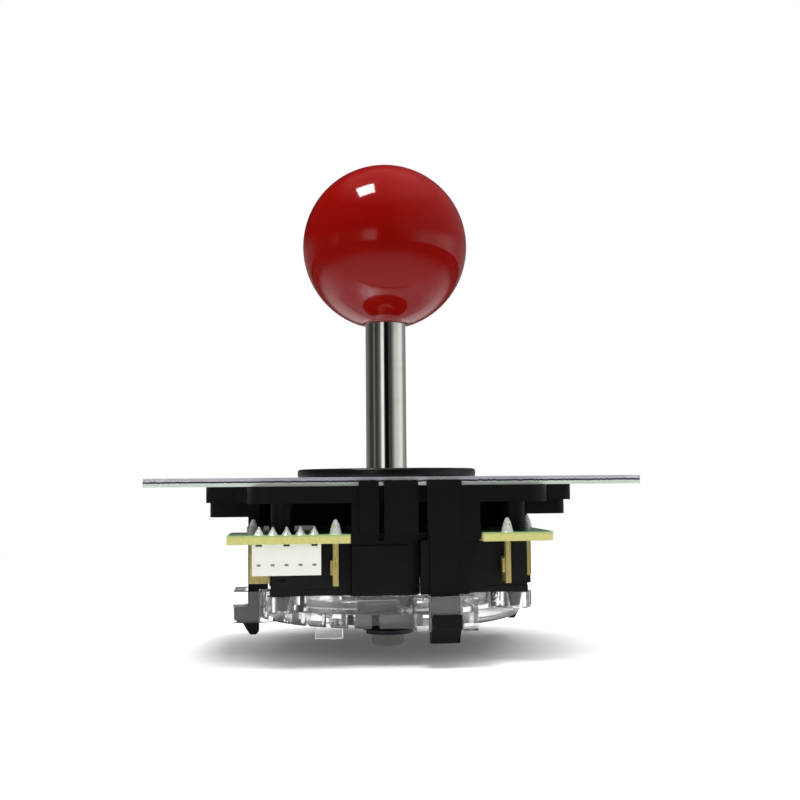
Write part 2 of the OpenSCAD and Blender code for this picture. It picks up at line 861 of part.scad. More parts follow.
// A switch's cover, over the room
module switch_cover(turn) {
    color("black")
        rotate(turn)
            difference() {
                block([case_left, -case_far, case_end_z], [case_right, -case_near, cover_z]);
                for (place = post_places)
                    translate([place[0], place[1], case_end_z - cut])
                        cylinder(h = cover_t + 2 * cut, r = post_r + play, $fn = 48);
            }
}

// A plunger with a domed tip and a flange inside the case
module plunger(turn) {
    flange_r = plunger_r + 0.7;
    tip = 0.4;
    color("firebrick")
        rotate(turn)
            translate([0, 0, plunger_z])
                rotate([90, 0, 0])
                    rotate_extrude($fn = 64)
                        polygon([
                            [0, plunger_tip], [plunger_r - tip, plunger_tip],
                            [plunger_r, plunger_tip + tip], [plunger_r, plunger_flange],
                            [flange_r, plunger_flange], [flange_r, plunger_end], [0, plunger_end]]);
}

// The part of the open terminal inside the switch, from its back to the fixed contact
module open_root() {
    foot_y = -(blade_at + blade_t + 1.4);
    block([open_at - terminal_t / 2, -terminal_out + 1, root_low],
        [open_at + terminal_t / 2, foot_y, root_high]);
}

// The part of the common terminal inside the switch
module common_root() {
    block([-terminal_out + 1, common_at - terminal_t / 2, root_low],
        [common_in, common_at + terminal_t / 2, root_high]);
}

// The open terminal: blade outside, root, foot along the switch and fixed contact
module open_terminal(turn) {
    foot_y = -(blade_at + blade_t + 1.4);
    contact_y = -(blade_at + blade_t + 0.5);
    color("goldenrod")
        rotate(turn) {
            open_root();
            block([open_at - terminal_t / 2, -terminal_out, terminal_end_z],
                [open_at + terminal_t / 2, -case_far, wide_z]);
            block([open_at - terminal_t / 2, -terminal_out, wide_z - cut],
                [open_at + terminal_t / 2, -terminal_out + finger_d, board_end_z - play]);
            block([open_at - terminal_t / 2 - tongue_reach, -terminal_out + 0.8, tongue_low],
                [open_at, -terminal_out + 2, tongue_high]);
            finger(open_at, terminal_out, 0);
            block([open_at - terminal_t / 2, foot_y - 0.6, root_low], [1, foot_y, root_high]);
            translate([0, foot_y - 0.1, (root_low + root_high) / 2])
                rotate([-90, 0, 0])
                    cylinder(h = contact_y - foot_y + 0.1, r = 0.9, $fn = 32);
        }
}

// The common terminal, which leaves the switch's end
module common_terminal(turn) {
    color("goldenrod")
        rotate(turn) {
            common_root();
            block([-terminal_out, common_at - terminal_t / 2, terminal_end_z],
                [case_left, common_at + terminal_t / 2, wide_z]);
            block([-terminal_out, common_at - terminal_t / 2, wide_z - cut],
                [-terminal_out + finger_d, common_at + terminal_t / 2, board_end_z - play]);
            block([-terminal_out + 0.8, common_at, tongue_low],
                [-terminal_out + 2, common_at + terminal_t / 2 + tongue_reach, tongue_high]);
            common_finger(0);
        }
}

// The blade: a strip held by the common terminal, which the plunger bends
module blade(turn) {
    heel_y = common_at + terminal_t / 2;
    color("peru")
        rotate(turn) {
            block([common_in - 0.8, heel_y, root_low], [common_in, -blade_at, root_high]);
            block([common_in - 0.8, -blade_at - blade_t, root_low], [1, -blade_at, root_high]);
        }
}

// The ring in section, with a rounded lower edge
module gate_ring_section() {
    inner = gate_r - gate_wall;
    difference() {
        translate([inner, gate_end_z])
            square([gate_wall, gate_h]);
        translate([gate_r - gate_round, gate_end_z - cut])
            square([gate_round + cut, gate_round + cut]);
    }
    intersection() {
        translate([gate_r - gate_round, gate_end_z + gate_round])
            circle(gate_round);
        translate([inner, gate_end_z])
            square([gate_wall, gate_h]);
    }
    translate([ledge_in_r, guide_z + play])
        square([inner - ledge_in_r + play, ledge_t]);
}

// A loop that a barb catches, with its two posts
module gate_loop() {
    post_w = 2.6;
    bar_in = block_out + 0.5;
    for (x = [loop_left, loop_right - post_w])
        block([x, -loop_out, gate_end_z + seam], [x + post_w, -gate_r + 4.5, gate_z - seam]);
    block([loop_left, -loop_out, gate_z - loop_h], [loop_right, -bar_in, gate_z - seam]);
}

// A lug on the ring that takes a switch's outer post
module gate_lug() {
    place = post_places[0];
    out = norm(place);
    translate([place[0], place[1], gate_z - lug_t])
        cylinder(h = lug_t - seam, r = lug_r, $fn = 64);
    rotate(atan2(place[1], place[0]))
        block([gate_r - gate_wall / 2, 0.4 - lug_r, gate_z - lug_t + seam],
            [out, lug_r - 0.4, gate_z - 2 * seam]);
}

// Fine upright ribs on the ring's front
module grip_ribs() {
    for (i = [-1 : 3])
        block([i * rib_pitch - rib_w / 2, -gate_r - rib_w, gate_z - rib_low],
            [i * rib_pitch + rib_w / 2, -gate_r + gate_wall / 2, gate_z - rib_high]);
}

// The clear gate ring: ledge over the guide, loops for the hooks, notches and snap lips
module restrictor_gate() {
    inner = gate_r - gate_wall;
    color("azure", 0.4) {
        difference() {
            union() {
                rotate_extrude()
                    gate_ring_section();
                difference() {
                    each_side()
                        gate_loop();
                    translate([0, 0, gate_end_z - cut])
                        cylinder(h = gate_h + 2 * cut, r = inner + play / 2);
                }
                each_side()
                    gate_lug();
                for (half = [FRONT, BACK])
                    rotate(half)
                        grip_ribs();
            }
            each_side()
                block([leg_left - 0.3, -block_out - 0.3, gate_end_z - cut],
                    [leg_right + 0.3, -inner - 0.2, gate_z + cut]);
            for (half = [FRONT, BACK], a = [100 : notch_step : 160])
                rotate(half - a)
                    block([inner - cut, -notch_w / 2, gate_end_z - cut],
                        [gate_r + cut, notch_w / 2, guide_z]);
            each_side()
                for (place = post_places)
                    translate([place[0], place[1], post_tip_z - cut])
                        cylinder(h = gate_z - post_tip_z + 2 * cut, r = post_r + play, $fn = 48);
        }
        for (turn = [45 : 90 : 315])
            rotate(turn)
                snap_lip();
    }
}

// A lip on the ring's inside that keeps the guide in
module snap_lip() {
    inner = gate_r - gate_wall;
    reach_in = 1;
    half_w = 3;
    lip_t = guide_end_z - play - gate_end_z;
    intersection() {
        block([-half_w, inner - reach_in, gate_end_z + seam], [half_w, gate_r, gate_end_z + lip_t]);
        translate([0, 0, gate_end_z])
            cylinder(h = lip_t + cut, r = inner + play);
    }
}

// The guide that turns in the gate: a square opening in a raised wall, and two finger tabs
module gate_guide() {
    tab_w = 5.3;
    tab_t = 1.5;
    tab_x = -12.9;
    tab_y = -17.5;
    tab_end_z = -30.7;
    wall_half = guide_half + guide_wall;
    color("azure", 0.4)
        difference() {
            union() {
                translate([0, 0, guide_end_z])
                    cylinder(h = guide_t, r = guide_r);
                translate([0, 0, guide_end_z])
                    linear_extrude(guide_rim_z - guide_end_z)
                        rounded_sheet(2 * wall_half, 2 * wall_half, 2 + guide_wall);
                for (half = [FRONT, BACK])
                    rotate(half)
                        translate([tab_x, tab_y, tab_end_z])
                            block([-tab_w / 2, -tab_t / 2, 0],
                                [tab_w / 2, tab_t / 2, guide_end_z - tab_end_z + cut]);
            }
            translate([0, 0, guide_end_z - cut])
                linear_extrude(guide_rim_z - guide_end_z + 2 * cut)
                    rounded_sheet(2 * guide_half, 2 * guide_half, 2);
        }
}

ball_top();
ball_insert();
lever_shaft();
pivot_bush();
centring_collar();
lever_spring();
actuator();
e_ring();
dust_washer();
mounting_plate();
plate_screws();
housing();
circuit_board();
solder_joints();
connector_housing();
connector_pins();
restrictor_gate();
gate_guide();
switch_case(FRONT);  // front_switch_case
switch_cover(FRONT);  // front_switch_cover
plunger(FRONT);  // front_plunger
blade(FRONT);  // front_blade
common_terminal(FRONT);  // front_common_terminal
open_terminal(FRONT);  // front_open_terminal
switch_case(RIGHT);  // right_switch_case
switch_cover(RIGHT);  // right_switch_cover
plunger(RIGHT);  // right_plunger
blade(RIGHT);  // right_blade
common_terminal(RIGHT);  // right_common_terminal
open_terminal(RIGHT);  // right_open_terminal
switch_case(BACK);  // back_switch_case
switch_cover(BACK);  // back_switch_cover
plunger(BACK);  // back_plunger
blade(BACK);  // back_blade
common_terminal(BACK);  // back_common_terminal
open_terminal(BACK);  // back_open_terminal
switch_case(LEFT);  // left_switch_case
switch_cover(LEFT);  // left_switch_cover
plunger(LEFT);  // left_plunger
blade(LEFT);  // left_blade
common_terminal(LEFT);  // left_common_terminal
open_terminal(LEFT);  // left_open_terminal
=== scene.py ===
"""Finishes for a ball-top arcade joystick.

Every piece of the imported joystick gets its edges, its fine shapes and a procedural material.
One operator makes each group of pieces, and one makes the studio that they stand in.
Lengths are metres, and MM turns millimetres into them.
"""

import json
from math import cos, degrees, pi, radians, sin

import bmesh
import bpy
from bpy.props import FloatProperty, FloatVectorProperty, PointerProperty
from mathutils import Matrix, Vector


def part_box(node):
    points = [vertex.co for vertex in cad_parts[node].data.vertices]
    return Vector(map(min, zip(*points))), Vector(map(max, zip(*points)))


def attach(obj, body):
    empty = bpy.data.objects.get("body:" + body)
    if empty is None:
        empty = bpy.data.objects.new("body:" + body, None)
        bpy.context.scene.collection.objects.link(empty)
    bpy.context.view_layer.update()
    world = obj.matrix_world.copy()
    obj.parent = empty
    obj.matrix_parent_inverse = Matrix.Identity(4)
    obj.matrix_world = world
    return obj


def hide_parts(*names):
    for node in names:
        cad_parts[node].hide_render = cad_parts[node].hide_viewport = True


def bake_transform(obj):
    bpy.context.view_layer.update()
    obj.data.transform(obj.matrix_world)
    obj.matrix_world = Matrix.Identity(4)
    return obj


bl_info = {
    "name": "Arcade Joystick Finishes",
    "version": (1, 0, 0),
    "blender": (4, 5, 0),
    "location": "View3D > Sidebar > Joystick",
    "description": "Makes the edges, fine shapes, materials and studio of an arcade joystick",
    "category": "Object",
}

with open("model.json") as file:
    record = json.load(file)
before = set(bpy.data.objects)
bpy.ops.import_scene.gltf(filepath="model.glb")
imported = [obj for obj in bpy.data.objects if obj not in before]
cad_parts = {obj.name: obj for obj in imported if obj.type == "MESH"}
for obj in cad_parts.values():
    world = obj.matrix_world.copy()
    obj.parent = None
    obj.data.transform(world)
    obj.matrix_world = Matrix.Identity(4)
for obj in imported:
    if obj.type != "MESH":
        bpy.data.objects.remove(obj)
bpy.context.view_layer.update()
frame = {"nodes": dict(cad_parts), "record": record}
NODES = frame["nodes"]
BODY_OF = {
    node: body
    for body, members in frame["record"]["behaviour"]["bodies"].items()
    for node in members
}
MM = 0.001
SIDES = ("front", "right", "back", "left")
BALL_LOW, BALL_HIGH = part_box("ball_top")
BOARD_LOW, BOARD_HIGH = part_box("circuit_board")
PLATE_LOW, PLATE_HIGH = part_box("mounting_plate")
SHAFT_LOW, SHAFT_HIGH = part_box("lever_shaft")
SHAFT_RADIUS = (SHAFT_HIGH.x - SHAFT_LOW.x) / 2
FLOOR = SHAFT_LOW.z

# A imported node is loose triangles: its points merge within this gap, and faces that turn by
# less than this angle are one flat face.
MERGE_GAP = 0.002 * MM
FLAT_ANGLE = radians(0.7)
# An edge is rounded from this angle on, and where it is this many roundings long.
SHARP_ANGLE = radians(32)
EDGE_ROOM = 2.6
RIM_ANGLE = radians(150)

# Left, right, low and high sides of the webs behind one wall's slots and under its skirt, in
# millimetres: along the wall, and above the board's underside.
WALL_WEBS = (
    (-4.15, -3.05, -0.35, 1.7),
    (3.15, 4.95, -0.35, 1.7),
    (12.55, 14.8, -0.5, 0.35),
    (1.9, 3.7, -0.5, 0.35),
)
WEB_FRONT, WEB_BACK = -26.8, -26.25

# The connector: its pitch, and its windows' height over its lower end, in millimetres.
PIN_PITCH = 2.5
WINDOW_RISE = 1.9

# Grey levels of the walls that bright metal mirrors, by their turn about the lever in degrees.
# The dark gap about 179 is the camera, and the bright strips beside it are the softboxes.
MIRRORED_WALLS = (
    (0, 0.22), (14, 0.22), (50, 0.17), (70, 0.055), (90, 0.035), (99, 0.09), (105, 0.2),
    (112, 0.05), (119, 0.04), (131, 0.08), (143, 0.2), (150, 0.95), (160, 1.1), (163, 0.9),
    (165, 0.1), (171, 0.003), (187, 0.003), (192, 0.05), (205, 0.055), (216, 0.24),
    (230, 0.62), (244, 0.66), (259, 0.86), (276, 0.9), (284, 0.5), (296, 0.3), (335, 0.2),
    (360, 0.22),
)

# The camera: place and heading in metres, pitch and roll in degrees, lens in millimetres.
CAMERA_PLACE = (-0.02022, -0.21825, -0.00133)
CAMERA_HEADING = (0.1058, 0.9944, 0)
CAMERA_PITCH, CAMERA_ROLL = 4.64, 0.516
CAMERA_LENS, SENSOR_WIDTH = 46.52, 36.0


# ---------------------------------------------------------------- settings


class JoystickEdges(bpy.types.PropertyGroup):
    """Sizes of the rounded edges"""

    moulded: FloatProperty(
        name="Moulded edge",
        description="Width of the rounding on the edges of moulded plastic",
        default=0.14 * MM,
        min=0.02 * MM,
        max=0.3 * MM,
        precision=5,
        unit="LENGTH",
    )
    stamped: FloatProperty(
        name="Stamped edge",
        description="Width of the rounding on the edges of sheet metal",
        default=0.06 * MM,
        min=0.01 * MM,
        max=0.2 * MM,
        precision=5,
        unit="LENGTH",
    )
    clear: FloatProperty(
        name="Clear edge",
        description="Width of the rounding on the edges of the clear gate",
        default=0.16 * MM,
        min=0.02 * MM,
        max=0.3 * MM,
        precision=5,
        unit="LENGTH",
    )


class JoystickColours(bpy.types.PropertyGroup):
    """Base colours of the main finishes"""

    ball: FloatVectorProperty(
        name="Ball",
        description="Colour of the ball",
        subtype="COLOR",
        size=3,
        default=(0.215, 0.0028, 0.0014),
        min=0,
        max=1,
    )
    plastic: FloatVectorProperty(
        name="Housing",
        description="Colour of the moulded housing",
        subtype="COLOR",
        size=3,
        default=(0.0036, 0.0052, 0.0044),
        min=0,
        max=1,
    )
    mask: FloatVectorProperty(
        name="Board mask",
        description="Colour of the mask on the circuit board",
        subtype="COLOR",
        size=3,
        default=(0.10, 0.33, 0.11),
        min=0,
        max=1,
    )
    ivory: FloatVectorProperty(
        name="Connector",
        description="Colour of the connector",
        subtype="COLOR",
        size=3,
        default=(0.86, 0.85, 0.76),
        min=0,
        max=1,
    )


class JoystickStudio(bpy.types.PropertyGroup):
    """Light levels of the studio"""

    ambient: FloatProperty(
        name="Ambient",
        description="Level of the light from all round",
        default=0.34,
        min=0,
        max=2,
    )
    softbox: FloatProperty(
        name="Overhead softbox",
        description="Power of the wide softbox over the joystick",
        default=26.0,
        min=0,
        max=120,
        unit="POWER",
    )
    highlight: FloatProperty(
        name="Highlight softbox",
        description="Power of the small softbox that the ball mirrors",
        default=7.0,
        min=0,
        max=60,
        unit="POWER",
    )
    floor_glow: FloatProperty(
        name="Floor white",
        description="Share of plain white in the floor that the camera sees",
        default=0.08,
        min=0,
        max=1,
    )


# ---------------------------------------------------------------- meshes


def link_piece(name, bm, body, materials, replaced=(), smooth_angle=38, bend=None):
    """A finished piece from its mesh, riding on its body, or with its place baked in and riding on
    no body when a bend is given.
    """
    limit = radians(smooth_angle)
    for face in bm.faces:
        face.smooth = True
    for edge in bm.edges:
        edge.smooth = len(edge.link_faces) == 2 and edge.calc_face_angle(0) < limit
    mesh = bpy.data.meshes.new(name)
    bm.to_mesh(mesh)
    bm.free()
    piece = bpy.data.objects.new(name, mesh)
    bpy.context.scene.collection.objects.link(piece)
    for material in materials:
        mesh.materials.append(material)
    normals = piece.modifiers.new("Even shading", "WEIGHTED_NORMAL")
    normals.keep_sharp = True
    if bend:
        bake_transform(piece)
    else:
        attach(piece, body)
    if replaced:
        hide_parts(*replaced)
    return piece


def merged_copy(node):
    """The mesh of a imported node, merged and with its flat faces whole."""
    bm = bmesh.new()
    bm.from_mesh(NODES[node].data)
    bmesh.ops.remove_doubles(bm, verts=bm.verts, dist=MERGE_GAP)
    bmesh.ops.dissolve_limit(
        bm,
        angle_limit=FLAT_ANGLE,
        verts=bm.verts,
        edges=bm.edges,
        use_dissolve_boundaries=False,
        delimit=set(),
    )
    return bm


def packed_cones(node):
    """Place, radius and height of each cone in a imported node, in millimetres."""
    bm = merged_copy(node)
    left = set(bm.verts)
    found = []
    while left:
        group, waiting = [], [left.pop()]
        while waiting:
            vert = waiting.pop()
            group.append(vert.co)
            for edge in vert.link_edges:
                other = edge.other_vert(vert)
                if other in left:
                    left.remove(other)
                    waiting.append(other)
        low = [min(co[i] for co in group) / MM for i in range(3)]
        high = [max(co[i] for co in group) / MM for i in range(3)]
        radius = (high[0] - low[0]) / 2
        place = ((low[0] + high[0]) / 2, (low[1] + high[1]) / 2)
        found.append((place, radius, high[2] - low[2]))
    bm.free()
    return sorted(found)


def has_room(edge, marked, width):
    """Whether an edge is long enough for its rounding, or only continues a rim."""
    if edge.calc_length() >= EDGE_ROOM * width:
        return True
    for vert in edge.verts:
        along = edge.other_vert(vert).co - vert.co
        for other in vert.link_edges:
            if other is not edge and other in marked:
                if along.angle(other.other_vert(vert).co - vert.co, 0) < RIM_ANGLE:
                    return False
    return True


def round_edges(bm, width):
    """Rounds the sharp edges that have room for it."""
    marked = {
        edge
        for edge in bm.edges
        if len(edge.link_faces) == 2 and edge.calc_face_angle(0) > SHARP_ANGLE
    }
    chosen = [edge for edge in marked if has_room(edge, marked, width)]
    chosen.sort(key=lambda edge: edge.index)
    bmesh.ops.bevel(
        bm,
        geom=chosen,
        offset=width,
        offset_type="OFFSET",
        affect="EDGES",
        segments=2,
        profile=0.5,
        material=-1,
        clamp_overlap=True,
        loop_slide=True,
    )


def dress(node, width, material, paint=None, extra=(), bend=None):
    """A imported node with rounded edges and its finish."""
    bm = merged_copy(node)
    bm.edges.index_update()
    if width:
        round_edges(bm, width)
    if paint:
        bm.normal_update()
        for face in bm.faces:
            face.material_index = paint(face)
    return link_piece(
        node + "_finished",
        bm,
        BODY_OF[node],
        [material, *extra],
        (node,),
        bend=bend,
    )


def turned(profile, steps=96, centre=(0.0, 0.0)):
    """A turned shape from a closed line of (radius, height) in millimetres."""
    bm = bmesh.new()
    ring = [bm.verts.new((r * MM, 0, z * MM)) for r, z in profile]
    edges = [
        bm.edges.new((a, b))
        for a, b in zip(ring, ring[1:] + ring[:1])
        if a.co.x > 0 or b.co.x > 0
    ]
    bmesh.ops.spin(
        bm,
        geom=ring + edges,
        cent=(0, 0, 0),
        axis=(0, 0, 1),
        dvec=(0, 0, 0),
        angle=2 * pi,
        steps=steps,
        use_merge=True,
        use_duplicate=False,
    )
    bmesh.ops.remove_doubles(bm, verts=bm.verts, dist=0.001 * MM)
    bmesh.ops.recalc_face_normals(bm, faces=bm.faces)
    bmesh.ops.translate(bm, verts=bm.verts, vec=(centre[0] * MM, centre[1] * MM, 0))
    return bm


def joined(meshes):
    """Several meshes in one."""
    bm = meshes[0]
    for other in meshes[1:]:
        mesh = bpy.data.meshes.new("part")
        other.to_mesh(mesh)
        other.free()
        bm.from_mesh(mesh)
        bpy.data.meshes.remove(mesh)
    return bm


def boxed(low, high, width=0.0):
    """A block between two corners in millimetres, with rounded edges."""
    bm = bmesh.new()
    middle = [(a + b) / 2 * MM for a, b in zip(low, high)]
    size = [abs(b - a) * MM for a, b in zip(low, high)]
    bmesh.ops.create_cube(
        bm, size=1.0, matrix=Matrix.Translation(middle) @ Matrix.Diagonal((*size, 1.0))
    )
    if width:
        round_edges(bm, width)
    return bm


def turn_about_lever(bm, angle):
    """Turns a mesh about the lever's axis, by degrees."""
    turn = Matrix.Rotation(radians(angle), 3, "Z")
    bmesh.ops.rotate(bm, verts=bm.verts, cent=(0, 0, 0), matrix=turn)
    return bm


def solder_fillet(place, radius, height):
    """Solder drawn up round a connector's pin, or fuller round a terminal's wider finger."""
    pin, drawn = (0.24, 1.1) if radius < 1.1 else (0.45, 0.72)
    top = BOARD_HIGH.z / MM
    neck = height * 0.84
    outline = [(0, top), (radius, top), (radius * 0.97, top + 0.05)]
    steps = 9
    for i in range(1, steps):
        rise = i / steps
        side = pin + (radius * 0.95 - pin) * (1 - rise) ** drawn
        outline.append((side, top + neck * rise))
    outline += [(pin * r, top + neck + (height - neck) * z) for r, z in arc(0, 0, 1, 8, 90, 5)]
    return turned(outline, 24, place)


def arc(centre_r, centre_z, radius, start, end, steps):
    """Points of an arc in a profile, in degrees from straight out."""
    turns = [radians(start + (end - start) * i / steps) for i in range(steps + 1)]
    return [(centre_r + radius * cos(t), centre_z + radius * sin(t)) for t in turns]


# ---------------------------------------------------------------- materials


def add(tree, kind, inputs=None, **settings):
    """A shader node with its settings, and its inputs set or linked."""
    node = tree.nodes.new("ShaderNode" + kind)
    for key, value in settings.items():
        setattr(node, key, value)
    for key, value in (inputs or {}).items():
        if isinstance(value, bpy.types.NodeSocket):
            tree.links.new(value, node.inputs[key])
        else:
            node.inputs[key].default_value = value
    return node


def maths(tree, operation, a, b=0.0, clamp=False):
    """The result of one sum."""
    node = add(tree, "Math", {0: a, 1: b}, operation=operation, use_clamp=clamp)
    return node.outputs[0]


def spread(tree, value, low, high, to_low=0.0, to_high=1.0):
    """A value spread smoothly from one range to another."""
    node = add(
        tree,
        "MapRange",
        {"Value": value, "From Min": low, "From Max": high, "To Min": to_low, "To Max": to_high},
        interpolation_type="SMOOTHSTEP",
    )
    return node.outputs["Result"]


def mixed(tree, factor, a, b, blend_type="MIX"):
    """Two colours mixed by a factor."""
    node = add(tree, "Mix", {0: factor, 6: a, 7: b}, data_type="RGBA", blend_type=blend_type)
    return node.outputs[2]


def noise(tree, vector, scale, detail=2.0, roughness=0.5, distortion=0.0):
    """A noise value at a scale in features per metre."""
    node = add(
        tree,
        "TexNoise",
        {
            "Vector": vector,
            "Scale": scale,
            "Detail": detail,
            "Roughness": roughness,
            "Distortion": distortion,
        },
    )
    return node.outputs["Fac"]


def stretched(tree, vector, scale):
    """Coordinates stretched along the axes."""
    return add(tree, "Mapping", {"Vector": vector, "Scale": scale}).outputs["Vector"]


def effect(name, inputs, outputs):
    """A new effect with named inputs and outputs, and where they are in it."""
    tree = bpy.data.node_groups.new(name, "ShaderNodeTree")
    for label, value in inputs.items():
        kind = "NodeSocketVector" if value is None else "NodeSocketFloat"
        socket = tree.interface.new_socket(label, in_out="INPUT", socket_type=kind)
        if value is not None:
            socket.default_value = value
    for label in outputs:
        tree.interface.new_socket(label, in_out="OUTPUT", socket_type="NodeSocketFloat")
    source = tree.nodes.new("NodeGroupInput").outputs
    result = tree.nodes.new("NodeGroupOutput").inputs
    return tree, source, result


def make_moulded_skin():
    """Fine grain, slow changes of tone and flow marks of moulded plastic."""
    tree, given, made = effect(
        "Moulded skin",
        {"Vector": None, "Grain": 2500.0, "Tone": 0.2, "Flow": 0.3},
        ("Shade", "Roughness", "Height"),
    )
    grain = noise(tree, given["Vector"], given["Grain"], 3.0, 0.6)
    slow = noise(tree, given["Vector"], 70.0, 3.0, 0.55, 0.6)
    flow = noise(tree, stretched(tree, given["Vector"], (1.0, 1.0, 0.35)), 260.0, 2.0, 0.5, 1.4)
    shade = maths(tree, "MULTIPLY", maths(tree, "SUBTRACT", slow, 0.5), given["Tone"])
    tree.links.new(maths(tree, "ADD", shade, 1.0), made["Shade"])
    fine = maths(tree, "MULTIPLY", grain, 0.4)
    rough = maths(tree, "ADD", maths(tree, "MULTIPLY", slow, 0.6), fine)
    tree.links.new(maths(tree, "SUBTRACT", rough, 0.5), made["Roughness"])
    height = maths(tree, "ADD", grain, maths(tree, "MULTIPLY", flow, given["Flow"]))
    tree.links.new(height, made["Height"])
    return tree


def make_handling_marks():
    """Thin scratches and rubbed patches."""
    tree, given, made = effect(
        "Handling marks", {"Vector": None, "Amount": 0.5}, ("Scratches", "Rubbed")
    )
    one = noise(tree, stretched(tree, given["Vector"], (1.0, 0.06, 0.5)), 2600.0, 1.0)
    two = noise(tree, stretched(tree, given["Vector"], (0.08, 1.0, 1.6)), 1900.0, 1.0)
    thin = maths(tree, "MAXIMUM", spread(tree, one, 0.70, 0.78), spread(tree, two, 0.71, 0.79))
    patch = spread(tree, noise(tree, given["Vector"], 120.0, 4.0, 0.65), 0.5, 0.72)
    tree.links.new(maths(tree, "MULTIPLY", thin, given["Amount"]), made["Scratches"])
    tree.links.new(maths(tree, "MULTIPLY", patch, given["Amount"]), made["Rubbed"])
    return tree


def make_settled_dust():
    """Specks of dust, most of them on faces that look up."""
    tree, given, made = effect("Settled dust", {"Vector": None, "Amount": 0.4}, ("Dust",))
    facing = add(tree, "NewGeometry").outputs["Normal"]
    up = add(tree, "SeparateXYZ", {0: facing}).outputs["Z"]
    lie = spread(tree, up, 0.1, 0.95, 0.03, 1.0)
    specks = spread(tree, noise(tree, given["Vector"], 3400.0, 1.0), 0.66, 0.74)
    film = spread(tree, noise(tree, given["Vector"], 180.0, 4.0, 0.7), 0.42, 0.75, 0.0, 0.35)
    both = maths(tree, "MAXIMUM", specks, film)
    dust = maths(tree, "MULTIPLY", maths(tree, "MULTIPLY", both, lie), given["Amount"])
    tree.links.new(dust, made["Dust"])
    return tree


def make_sheared_edge():
    """The bands on a sheared edge of sheet metal: smooth above, a torn line, broken below."""
    tree, given, made = effect(
        "Sheared edge",
        {"Vector": None, "Top": 0.0, "Thickness": 0.0016},
        ("Torn", "Broken", "Height"),
    )
    place = add(tree, "SeparateXYZ", {0: given["Vector"]}).outputs["Z"]
    depth = maths(tree, "DIVIDE", maths(tree, "SUBTRACT", given["Top"], place), given["Thickness"])
    ragged = noise(tree, stretched(tree, given["Vector"], (1.0, 1.0, 0.02)), 900.0, 3.0, 0.7)
    teeth = noise(tree, stretched(tree, given["Vector"], (1.0, 1.0, 0.02)), 2600.0, 1.0)
    shift = maths(tree, "MULTIPLY", maths(tree, "SUBTRACT", ragged, 0.5), 0.16)
    bite = maths(tree, "MULTIPLY", maths(tree, "SUBTRACT", teeth, 0.5), 0.16)
    shift = maths(tree, "ADD", shift, bite)
    at = maths(tree, "ADD", depth, shift)
    enter = spread(tree, at, 0.34, 0.42)
    leave = spread(tree, at, 0.54, 0.62)
    torn = maths(tree, "MULTIPLY", enter, maths(tree, "SUBTRACT", 1.0, leave))
    tree.links.new(torn, made["Torn"])
    tree.links.new(leave, made["Broken"])
    grit = noise(tree, stretched(tree, given["Vector"], (1.0, 1.0, 0.3)), 5200.0, 2.0)
    height = maths(tree, "SUBTRACT", maths(tree, "MULTIPLY", grit, leave), torn)
    tree.links.new(height, made["Height"])
    return tree


EFFECTS = {}


def effects():
    """The shared effects, made once."""
    if not EFFECTS:
        EFFECTS["skin"] = make_moulded_skin()
        EFFECTS["marks"] = make_handling_marks()
        EFFECTS["dust"] = make_settled_dust()
        EFFECTS["sheared"] = make_sheared_edge()
    return EFFECTS


def use(tree, key, inputs):
    """An effect placed in a material."""
    node = tree.nodes.new("ShaderNodeGroup")
    node.node_tree = effects()[key]
    for label, value in inputs.items():
        if isinstance(value, bpy.types.NodeSocket):
            tree.links.new(value, node.inputs[label])
        else:
            node.inputs[label].default_value = value
    return node.outputs


def new_material(name, **constants):
    """A material with a Principled shader whose plain values are set on its sockets."""
    material = bpy.data.materials.new(name)
    material.use_nodes = True
    tree = material.node_tree
    shader = tree.nodes["Principled BSDF"]
    for label, value in constants.items():
        shader.inputs[label.replace("_", " ")].default_value = value
    place = add(tree, "TexCoord").outputs["Object"]
    return material, tree, shader, place


def set_bump(tree, shader, height, distance, strength=1.0):
    """Feeds a height into the shader's normal."""
    bump = add(tree, "Bump", {"Height": height, "Distance": distance, "Strength": strength})
    tree.links.new(bump.outputs["Normal"], shader.inputs["Normal"])


def colour4(colour):
    return (*colour, 1.0)


def moulded(
    name,
    colour,
    rough,
    grain=2600.0,
    depth=0.004,
    tone=0.3,
    dust=0.25,
    marks=0.35,
    shine=0.5,
):
    """Moulded plastic with grain, flow marks, rubbed patches and a little dust."""
    material, tree, shader, place = new_material(name, IOR=1.5, Specular_IOR_Level=shine)
    skin = use(tree, "skin", {"Vector": place, "Grain": grain, "Tone": tone})
    worn = use(tree, "marks", {"Vector": place, "Amount": marks})
    film = use(tree, "dust", {"Vector": place, "Amount": dust})
    shade = mixed(tree, 1.0, colour4(colour), skin["Shade"], "MULTIPLY")
    lighter = tuple(min(1.0, c * 1.3 + 0.004) for c in colour)
    shade = mixed(tree, maths(tree, "MULTIPLY", worn["Rubbed"], 0.35), shade, colour4(lighter))
    shade = mixed(tree, film["Dust"], shade, (0.34, 0.33, 0.31, 1.0))
    tree.links.new(shade, shader.inputs["Base Color"])
    level = maths(tree, "ADD", maths(tree, "MULTIPLY", skin["Roughness"], 0.16), rough)
    level = maths(tree, "ADD", level, maths(tree, "MULTIPLY", worn["Rubbed"], -0.06))
    level = maths(tree, "ADD", level, maths(tree, "MULTIPLY", film["Dust"], 0.3), clamp=True)
    tree.links.new(level, shader.inputs["Roughness"])
    scratches = maths(tree, "MULTIPLY", worn["Scratches"], 0.8)
    relief = maths(tree, "SUBTRACT", skin["Height"], scratches)
    set_bump(tree, shader, relief, depth * MM)
    return material


